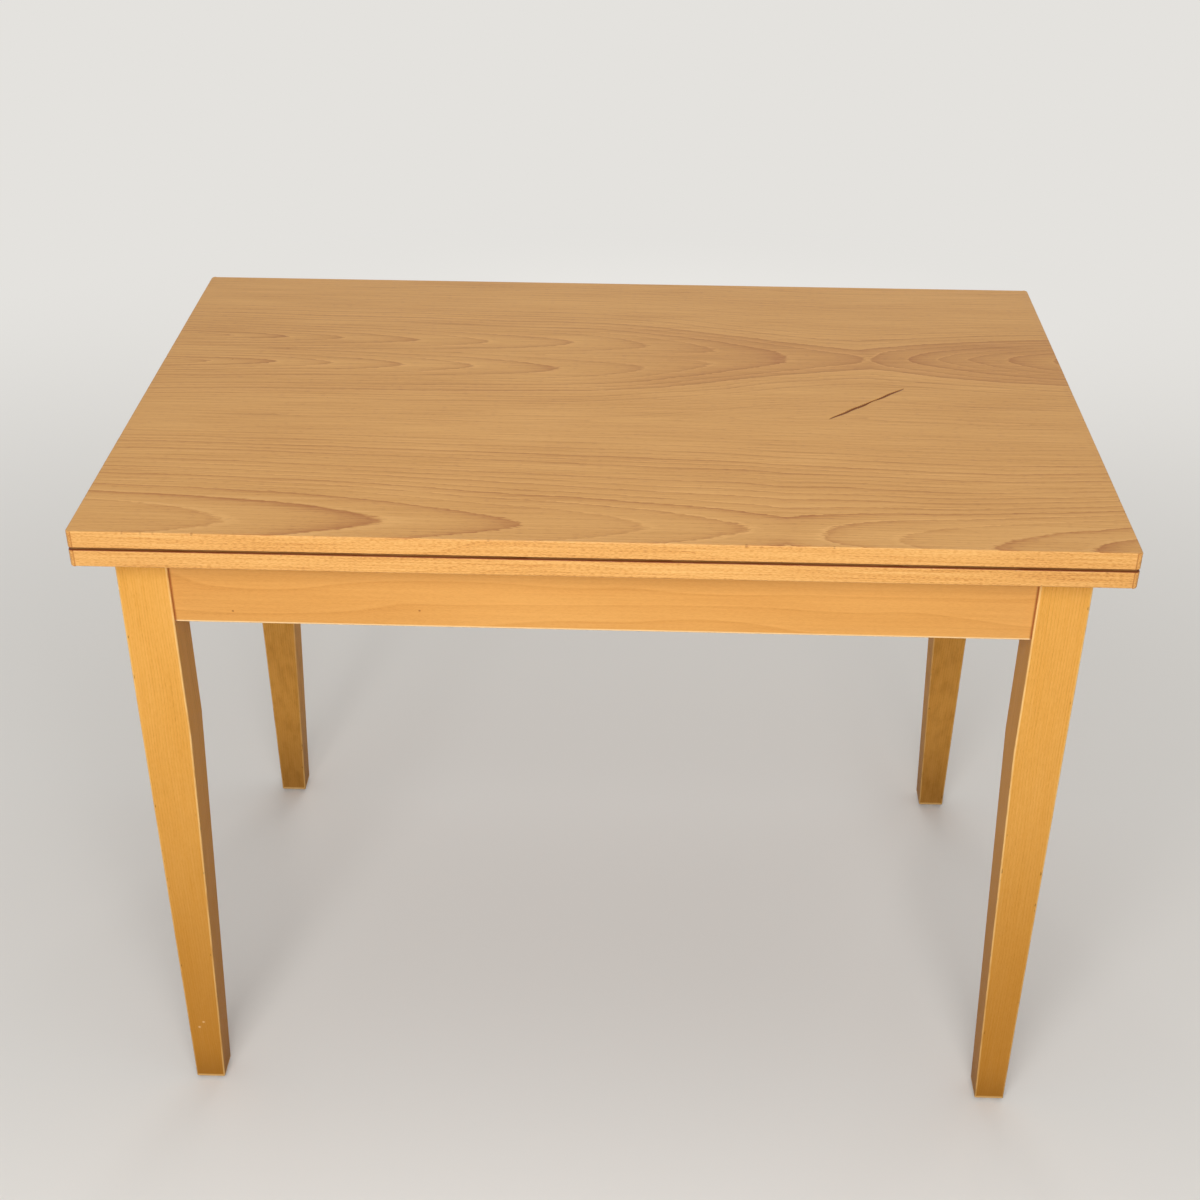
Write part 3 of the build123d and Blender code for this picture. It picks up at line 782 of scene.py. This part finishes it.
def outward(mesh):
    """Turns every face of a closed mesh outwards."""
    work = bmesh.new()
    work.from_mesh(mesh)
    bmesh.ops.recalc_face_normals(work, faces=work.faces)
    work.to_mesh(mesh)
    work.free()


def stand_for(piece, body, node):
    """The piece rides on a body and is shown in place of a solid."""
    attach(piece, body)
    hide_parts(node)
    return piece


print("pieces are made from rows of points")

# %% [markdown]
# The upper board has one bad scar, a gouge across the grain with a rim pushed up beside it. It is dug into
# the mesh, so it holds a shadow from any side: a V along a line, made ragged by two waves and pinched where
# the tool skipped.

# %% The gouge and the pits

GOUGE_START = np.array([234.0, -50.0])
GOUGE_END = np.array([322.0, 30.0])
GOUGE_HALF_WIDTH = 2.5
GOUGE_DEPTH = 1.3
RIM_HEIGHT, RIM_PLACE, RIM_WIDTH = 0.12, 1.25, 0.35
COARSE_RAG, COARSE_RATE, FINE_RAG, FINE_RATE = 0.22, 1.9, 0.14, 4.7
PINCH, PINCH_PLACE, PINCH_WIDTH = 0.6, 0.58, 0.09
BLUNT_END, THINNEST = 0.3, 0.02
WOBBLE, WOBBLE_RATE = 0.35, 0.21
PITS = ((-428.0, 75.0, 1.3), (-305.0, -20.0, 0.8), (-62.0, 8.0, 0.7), (96.0, -205.0, 0.8),
        (251.0, -62.0, 0.9))
PIT_DEPTH, PIT_SPREAD = 0.35, 0.5


def gouge(x, y):
    """The gouge's depth: a ragged V along a line, with a raised rim on both sides."""
    line = GOUGE_END - GOUGE_START
    length = np.hypot(*line)
    run = ((x - GOUGE_START[0]) * line[0] + (y - GOUGE_START[1]) * line[1]) / length
    aside = ((x - GOUGE_START[0]) * line[1] - (y - GOUGE_START[1]) * line[0]) / length
    share = np.clip(run / length, 0.0, 1.0)
    ragged = 1.0 + COARSE_RAG * np.sin(run * COARSE_RATE) + FINE_RAG * np.sin(run * FINE_RATE + 1.0)
    pinch = 1.0 - PINCH * np.exp(-((share - PINCH_PLACE) / PINCH_WIDTH) ** 2)
    fade = np.where((run > 0) & (run < length), np.sin(np.pi * share) ** BLUNT_END, 0.0)
    half = GOUGE_HALF_WIDTH * ragged * pinch * np.maximum(fade, THINNEST)
    aside = aside + WOBBLE * np.sin(run * WOBBLE_RATE)
    valley = np.clip(1.0 - np.abs(aside) / half, 0.0, 1.0)
    rim = np.exp(-((np.abs(aside) - half * RIM_PLACE) / (half * RIM_WIDTH)) ** 2) * fade
    return GOUGE_DEPTH * fade * valley - RIM_HEIGHT * rim


def pits(x, y):
    """Small round bruises: a bell-shaped dip at each place."""
    bells = (np.exp(-((x - a) ** 2 + (y - b) ** 2) / (PIT_SPREAD * size * size)) for a, b, size in PITS)
    return sum(PIT_DEPTH * bell for bell in bells)


print("a gouge", GOUGE_DEPTH, "mm deep, and", len(PITS), "pits")

# %% [markdown]
# The board is one grid with the wear taken off its height. The grid is fine only round the gouge and the
# pits, since the rest is flat, and that keeps the mesh small.

# %% The scarred board

FINE_STEP = 0.6
COARSE_STEP = 12.0
GOUGE_MARGIN = 8.0
PIT_MARGIN = 3.0


def fine_near(low, high, spans):
    """Places from low to high, coarse in general and fine within the given spans."""
    places = [np.arange(low, high, COARSE_STEP), [high]]
    for start, end in spans:
        places.append(np.arange(max(start, low), min(end, high), FINE_STEP))
    return np.unique(np.round(np.concatenate(places), 3))


def board_rows(leaf):
    """The board's outline at each place along it, and how far each point was dug."""
    ends = zip(GOUGE_START, GOUGE_END)
    reach = [(min(a, b) - GOUGE_MARGIN, max(a, b) + GOUGE_MARGIN) for a, b in ends]
    pit_x = [(a - PIT_MARGIN, a + PIT_MARGIN) for a, b, size in PITS]
    pit_y = [(b - PIT_MARGIN, b + PIT_MARGIN) for a, b, size in PITS]
    along = fine_near(-leaf.inner_x, leaf.inner_x, [reach[0], *pit_x])
    across = fine_near(-leaf.inner_y, leaf.inner_y, [reach[1], *pit_y])
    x, y = np.meshgrid(along, across, indexing="ij")
    dug = gouge(x, y) + pits(x, y)
    top = np.stack([x, y, leaf.top - dug], axis=-1)
    under = np.stack([x[:, [-1, 0]], y[:, [-1, 0]], np.full((len(along), 2), leaf.bottom)], axis=-1)
    marks = np.concatenate([np.clip(dug / GOUGE_DEPTH, 0, 1), np.zeros((len(along), 2))], axis=1)
    return np.concatenate([top, under], axis=1), marks


rows, marks = board_rows(upper_leaf)
scarred_board = swept("scarred_board", [rows], board_finish[upper_leaf], marks)
stand_for(scarred_board, upper_leaf.body, "upper_leaf_panel")
print("the scarred board has", rows.shape[0], "by", rows.shape[1], "points")

# %% [markdown]
# A lipping takes the knocks. Its section is a strip with two rounded outer arrises, and each knock makes an
# arris rounder for a few millimetres. The knocks come from one seed, so they are the same every time.

# %% The section of a lipping

FACE_ARRIS = 1.2
GAP_ARRIS = 0.7
SOUND = 0.5
ARC_POINTS = 6
LOW_ARC = slice(2, 2 + ARC_POINTS)
HIGH_ARC = slice(4 + ARC_POINTS, 4 + 2 * ARC_POINTS)
KNOCK_SPACING = 26.0
KNOCK_WIDTH, KNOCK_DEPTH = (0.7, 2.2), (0.1, 1.0)
knocks = np.random.default_rng(11)


def knocked(places, strength):
    """How much each place along an arris was rounded: a few narrow bumps at random."""
    length = places[-1] - places[0]
    count = int(length / KNOCK_SPACING)
    centre = knocks.uniform(places[0], places[-1], count)
    width = knocks.uniform(*KNOCK_WIDTH, count)
    depth = strength * knocks.uniform(*KNOCK_DEPTH, count) ** 2
    return (depth * np.exp(-((places[:, None] - centre) / width) ** 2)).sum(axis=1)


def strip_section(thick, leaf, low, high):
    """A strip's outline: out along the bottom, round an arris, up, round the other, and back."""
    thick, low, high = thick[:, None], low[:, None], high[:, None]
    turn = np.linspace(0.0, np.pi / 2, ARC_POINTS)
    none = np.zeros_like(thick)
    inset = [np.maximum(thick - arris - SOUND, 0.5 * (thick - arris)) for arris in (low, high)]
    out = [none, inset[0], thick - low + low * np.sin(turn), thick, thick,
           thick - high + high * np.cos(turn), inset[1], none]
    up = [none + leaf.bottom, none + leaf.bottom, leaf.bottom + low - low * np.cos(turn),
          leaf.bottom + low + SOUND, leaf.top - high - SOUND,
          leaf.top - high + high * np.sin(turn), none + leaf.top, none + leaf.top]
    return np.concatenate(out, axis=1), np.concatenate(up, axis=1)


print("arrises of", FACE_ARRIS, "and", GAP_ARRIS, "mm")

# %% [markdown]
# The end strips also turn the leaf's corner: towards their ends they get thinner along a quarter circle, in
# finer steps. The back strips, which hold the hinges, stay as they are.

# %% Knocked lippings

CORNER = 4.0
CORNER_STEPS = 9
STRIP_STEP = 1.0
FULLEST_ARRIS = 0.9


def strip_places(half):
    """Places along a strip, with the quarter circles at both ends stepped finely."""
    bend = half - CORNER * (1.0 - np.sin(np.linspace(0.0, np.pi / 2, CORNER_STEPS)))
    body = np.arange(-half + CORNER, half - CORNER, STRIP_STEP)
    return np.unique(np.round(np.concatenate([-bend, body, bend]), 4))


def strip(leaf, side, arris, wear):
    """A knocked lipping on the front, left or right edge of a leaf."""
    end = side != "front"
    places = strip_places(leaf.edge_y if end else leaf.inner_x)
    full = leaf.edge_x - leaf.inner_x if end else leaf.edge_y - leaf.inner_y
    past = np.clip(np.abs(places) - (leaf.edge_y - CORNER), 0.0, CORNER) if end else np.zeros_like(places)
    thick = full - (CORNER - np.sqrt(CORNER ** 2 - past ** 2))
    bumps = [knocked(places, strength) for strength in wear]
    low, high = (np.minimum(radius + bump, thick * FULLEST_ARRIS) for radius, bump in zip(arris, bumps))
    out, up = strip_section(thick, leaf, low, high)
    row = np.broadcast_to(places[:, None], out.shape)
    points = {
        "front": (row, -leaf.inner_y - out, up),
        "left": (-leaf.inner_x - out, row, up),
        "right": (leaf.inner_x + out, row, up),
    }[side]
    dug = np.zeros_like(out)
    for arc, bump in zip((LOW_ARC, HIGH_ARC), bumps):
        dug[:, arc] = bump[:, None]
    finish = lipping_finish[leaf, "y" if end else "x"]
    piece = swept(f"{leaf.name}_strip_{side}", [np.stack(points, axis=-1)], finish, np.clip(dug, 0, 1))
    return stand_for(piece, leaf.body, f"{leaf.name}_lipping_{side}")


for side in ("front", "left", "right"):
    strip(upper_leaf, side, (GAP_ARRIS, FACE_ARRIS), wear=(0.5, 0.8))
    strip(lower_leaf, side, (FACE_ARRIS, GAP_ARRIS), wear=(0.4, 0.9))
print("six knocked lippings")

# %% [markdown]
# Several solids are groups, such as sixteen screws in one. Triangles tell the members apart: every point
# starts with its own number, each triangle passes on the smallest of its corners, and after a few rounds each
# member shares one number.

# %% The members of a group


def members_of(node):
    """The lowest and highest corner of each member of a group, in millimetres."""
    mesh = nodes[node].data
    points = np.empty(len(mesh.vertices) * 3)
    mesh.vertices.foreach_get("co", points)
    mesh.calc_loop_triangles()
    corners = np.empty(len(mesh.loop_triangles) * 3, int)
    mesh.loop_triangles.foreach_get("vertices", corners)
    places, at = np.unique(np.round(points.reshape(-1, 3) / MM, 3), axis=0, return_inverse=True)
    triangles = at.ravel()[corners].reshape(-1, 3)
    number = np.arange(len(places))
    settled = False
    while not settled:
        least = number.copy()
        np.minimum.at(least, triangles, number[triangles].min(axis=1, keepdims=True))
        settled = np.array_equal(least, number)
        number = least
    groups = [places[number == n] for n in np.unique(number)]
    return [(group.min(axis=0), group.max(axis=0)) for group in groups]


bolt_boxes = members_of("hanger_bolts")
print(len(bolt_boxes), "bolts in one group")

# %% [markdown]
# A screw and a bolt are turned shapes: a row of points is a ring, and a piece is its radius along its axis.
# Two things break the ring: the driver's cross, a dip in the head, and the thread, a groove that moves on by
# one pitch with every turn.

# %% Turned rings

RING_POINTS = 36
TURN = np.linspace(0.0, 2 * np.pi, RING_POINTS, endpoint=False)
ASKEW = (0.31, 0.17, 0.94)
SLOT_HALF, SLOT_SLOPE, SLOT_REACH, SLOT_DEPTH = 0.20, 0.08, 0.68, 0.75


def turned(start, direction, along, radius):
    """Rings of points round an axis: a distance along it and a radius for each point."""
    direction = np.asarray(direction, float)
    side = np.cross(direction, ASKEW)
    side /= np.linalg.norm(side)
    other = np.cross(direction, side)
    along, radius = np.broadcast_arrays(along, radius)
    ring = np.cos(TURN)[:, None] * side + np.sin(TURN)[:, None] * other
    return start + along[..., None] * direction + radius[..., None] * ring


def thread(along, pitch, depth):
    """The groove's depth: a triangle wave that moves on by one pitch each turn."""
    wave = (along[:, None] / pitch - TURN / (2 * np.pi)) % 1.0
    return depth * np.abs(2 * wave - 1)


def cross_dip(radius, head):
    """The driver's cross: two slots, deepest in the middle, in shares of the head's radius."""
    u, v = np.abs(radius * np.cos(TURN)), np.abs(radius * np.sin(TURN))
    arm = np.clip((SLOT_HALF * head - np.minimum(u, v)) / (SLOT_SLOPE * head), 0, 1)
    reach = np.clip(1.0 - np.maximum(u, v) / (SLOT_REACH * head), 0, 1)
    return SLOT_DEPTH * head * arm * reach


print("rings of", RING_POINTS, "points")

# %% [markdown]
# Wood screws hold the hinges, the bearer, the pivot plate and the corner blocks, with flat heads or, on the
# blocks, round ones. Each fills the box of its solid, so it keeps its place, length and head, and gains a
# cross, a thread and a point.

# %% A wood screw

SHANK_SHARE = 0.54
SCREW_PITCH = 1.6
STEPS_A_TURN = 4
GROOVE_SHARE = 0.25
PLAIN_NECK = 2.0
POINT, POINT_STEPS, POINT_END = 4.0, 6, 0.08
HEAD_STEPS = np.linspace(0.06, 1.0, 14)
DOME_POWER = 4


def screw(start, direction, length, head, dome):
    """A wood screw: a flat or domed head, a neck, a threaded shank and a point."""
    shank = SHANK_SHARE * head
    face = HEAD_STEPS[:, None] * head
    head_along = -dome * (1.0 - HEAD_STEPS[:, None] ** DOME_POWER) + cross_dip(face, head)
    neck = 0.0 if dome else head - shank
    body = np.arange(neck, length - POINT, SCREW_PITCH / STEPS_A_TURN)
    tip = np.linspace(length - POINT, length, POINT_STEPS)
    shaft = np.concatenate([body, tip])
    taper = np.minimum(1.0, np.maximum((length - shaft) / POINT, POINT_END))
    cut = np.where(shaft > neck + PLAIN_NECK, 1.0, 0.0)[:, None]
    shaft_radius = taper[:, None] * (shank - cut * thread(shaft, SCREW_PITCH, GROOVE_SHARE * shank))
    along = np.concatenate([head_along, np.repeat(shaft[:, None], RING_POINTS, axis=1)])
    radius = np.concatenate([np.repeat(face, RING_POINTS, axis=1), shaft_radius])
    return turned(start, direction, along, radius)


print("screws have a pitch of", SCREW_PITCH, "mm")

# %% Screws in their places


def screw_in(box, head_end, dome=0.0):
    """The screw that fills a member's box, along its longest side."""
    low, high = box
    size = high - low
    axis = int(size.argmax())
    start = (low + high) / 2
    inner_end = -np.sign(start[axis])
    end = inner_end if head_end == "inner" else head_end
    head = np.delete(size, axis).max() / 2
    direction = np.zeros(3)
    direction[axis] = -end
    start[axis] = (high[axis] if end > 0 else low[axis]) - end * dome
    return screw(start, direction, size[axis] - dome, head, dome)


FLAT_HEAD, ROUND_HEAD = 0.0, 2.8
SCREWS = (
    ("hinge_lower_screws", "lower_leaf", "hinge_brass", 1, FLAT_HEAD),
    ("hinge_upper_screws", "upper_leaf", "hinge_brass", 1, FLAT_HEAD),
    ("corner_block_screws", "frame", "zinc_steel", "inner", ROUND_HEAD),
    ("bearer_screws", "frame", "zinc_steel", 1, FLAT_HEAD),
    ("pivot_plate_screws", "lower_leaf", "zinc_steel", -1, FLAT_HEAD),
)
for node, body, slot, head_end, dome in SCREWS:
    shapes = [screw_in(box, head_end, dome) for box in members_of(node)]
    stand_for(swept(f"driven_{node}", shapes, SLOT_FINISH[slot]), body, node)
    print(len(shapes), node)

# %% [markdown]
# A hanger bolt holds each leg: one end is driven into the leg, and a nut on the other pulls it into the
# corner. It is turned like the screws, so only its radius is new: the groove, a thin lead at the leg's end
# and a bevel at the nut's.

# %% Hanger bolts

BOLT_PITCH = 1.25
BOLT_GROOVE = 0.6
BOLT_STEPS_A_TURN = 5
LEAD_RADIUS = 1.5
END_BEVEL = 0.8


def hanger(box):
    """A bolt on the corner's diagonal, threaded from end to end."""
    low, high = box
    middle = (low + high) / 2
    radius = (high[2] - low[2]) / 2
    inward = np.array([-np.sign(middle[0]), -np.sign(middle[1]), 0.0]) / math.sqrt(2)
    length = (high[0] - low[0]) * math.sqrt(2) - 2 * radius
    along = np.append(np.arange(0.0, length, BOLT_PITCH / BOLT_STEPS_A_TURN), length)
    lead = np.minimum(radius, LEAD_RADIUS + along)
    bevel = np.minimum(radius, radius - END_BEVEL + (length - along))
    full = np.minimum(lead, bevel)[:, None] - thread(along, BOLT_PITCH, BOLT_GROOVE)
    return turned(middle - inward * length / 2, inward, along[:, None], full)


bolts = swept("threaded_hanger_bolts", [hanger(box) for box in bolt_boxes], zinc)
stand_for(bolts, "frame", "hanger_bolts")
print("hanger bolts have a pitch of", BOLT_PITCH, "mm")

# %% [markdown]
# The studio's floor looks pale to the camera and in reflections, but it throws back a warmer, dimmer light,
# so the table isn't lit from below. Far away it is evenly pale, by its own light, and near the table it keeps
# the shadow.

# %% Pale floor

FLOOR_HALF = 8.0
PALE_FLOOR = linear(228, 226, 222)
FLOOR_BOUNCE = linear(136, 106, 64)
DARK = (0.0, 0.0, 0.0, 1.0)


def floor_finish():
    """A pale floor: lit near the table, and of its own light further away."""
    finish = Finish("pale_floor")
    seen = finish.seen()
    far = (finish.x ** 2.0 + finish.y ** 2.0).root().step(low=700.0, high=2600.0) * seen
    colour = finish.mix(far, finish.mix(seen, FLOOR_BOUNCE, PALE_FLOOR), DARK)
    glow = finish.mix(far, DARK, PALE_FLOOR)
    finish.feed(finish.surface.inputs["Emission Color"], glow)
    return finish.done(colour, 0.9, emission_strength=1.0, specular_ior_level=0.0)


floor_mesh = bpy.data.meshes.new("floor")
corners = np.array([(-1, -1, 0), (1, -1, 0), (1, 1, 0), (-1, 1, 0)]) * FLOOR_HALF
floor_mesh.from_pydata(corners.tolist(), [], [(0, 1, 2, 3)])
floor_mesh.materials.append(floor_finish())
floor = placed("floor", floor_mesh)
print("a floor", 2 * FLOOR_HALF, "m across")

# %% [markdown]
# The studio gives soft light from all round. What shows of it past the floor's end has the floor's own tone,
# so there is no horizon.

# %% Light all round

SOFT_LIGHT = (1.0, 0.98, 0.95, 1.0)
SOFT_STRENGTH = 0.30


def studio_light(world):
    """Soft light from all round, and the floor's own tone for what is seen beyond it."""
    world.use_nodes = True
    wiring = Wiring(world.node_tree)
    light = wiring.node("Background", None, (SOFT_LIGHT, SOFT_STRENGTH))
    pale = wiring.node("Background", None, (PALE_FLOOR, 1.0))
    mixed = wiring.node("MixShader", None, (wiring.seen(), light, pale))
    wiring.feed(world.node_tree.nodes["World Output"].inputs["Surface"], mixed)
    return world


scene.world = studio_light(bpy.data.worlds.new("studio"))
print("soft light at", SOFT_STRENGTH)

# %% [markdown]
# Four large lamps: the key above the camera, a fill below it for the legs, one overhead for the top, and a
# fill behind for the far side. Lacquer doesn't mirror the fills, which only soften the shadows.

# %% Soft lamps


def softbox(name, place, target, size, power, mirrored):
    """A rectangular lamp that faces a target, and may be mirrored."""
    lamp = bpy.data.lights.new(name, "AREA")
    lamp.shape = "RECTANGLE"
    lamp.size, lamp.size_y = size
    lamp.energy = power
    lamp_object = placed(name, lamp)
    aim = Vector(target) - Vector(place)
    lamp_object.location = place
    lamp_object.rotation_euler = aim.to_track_quat("-Z", "Y").to_euler()
    lamp_object.visible_glossy = mirrored


FRONT = (0, -0.3, 0.55)
LAMPS = (
    ("front_key", (-0.12, -2.0, 1.85), FRONT, (1.7, 1.1), 34.0, True),
    ("front_fill", (-0.12, -2.5, 0.95), FRONT, (1.7, 0.9), 18.0, False),
    ("overhead", (0.2, 0.4, 3.1), (0, 0, 0.7), (2.4, 2.4), 20.0, True),
    ("back_fill", (0.1, 2.7, 0.9), (0, 0.3, 0.45), (2.0, 1.2), 26.0, False),
)
for lamp in LAMPS:
    softbox(*lamp)
print(len(LAMPS), "soft lamps")

# %% [markdown]
# The camera stands where the photographer stood, a little above the table and before its middle. A solved
# camera has its focal length in pixels, and Blender wants it in millimetres of the sensor. The Standard view
# shows a colour as it is written.

# %% Camera

LENS_PIXELS = 1779.35
FRAME_PIXELS = 1200.0
SENSOR = 36.0
CAMERA_PLACE = (0.0441, -1.7586, 1.5938)
PITCH, ROLL, YAW = (math.radians(angle) for angle in (31.941, 0.316, -1.742))
camera_data = bpy.data.cameras.new("camera")
camera_data.sensor_width = SENSOR
camera_data.lens = LENS_PIXELS / FRAME_PIXELS * camera_data.sensor_width
camera = placed("camera", camera_data)
camera.location = CAMERA_PLACE
look = Matrix.Rotation(-YAW, 4, "Z") @ Matrix.Rotation(math.pi / 2 - PITCH, 4, "X")
camera.rotation_euler = (look @ Matrix.Rotation(ROLL, 4, "Z")).to_euler()
scene.camera = camera
scene.view_settings.view_transform = "Standard"
print("a lens of", round(camera_data.lens, 1), "mm")
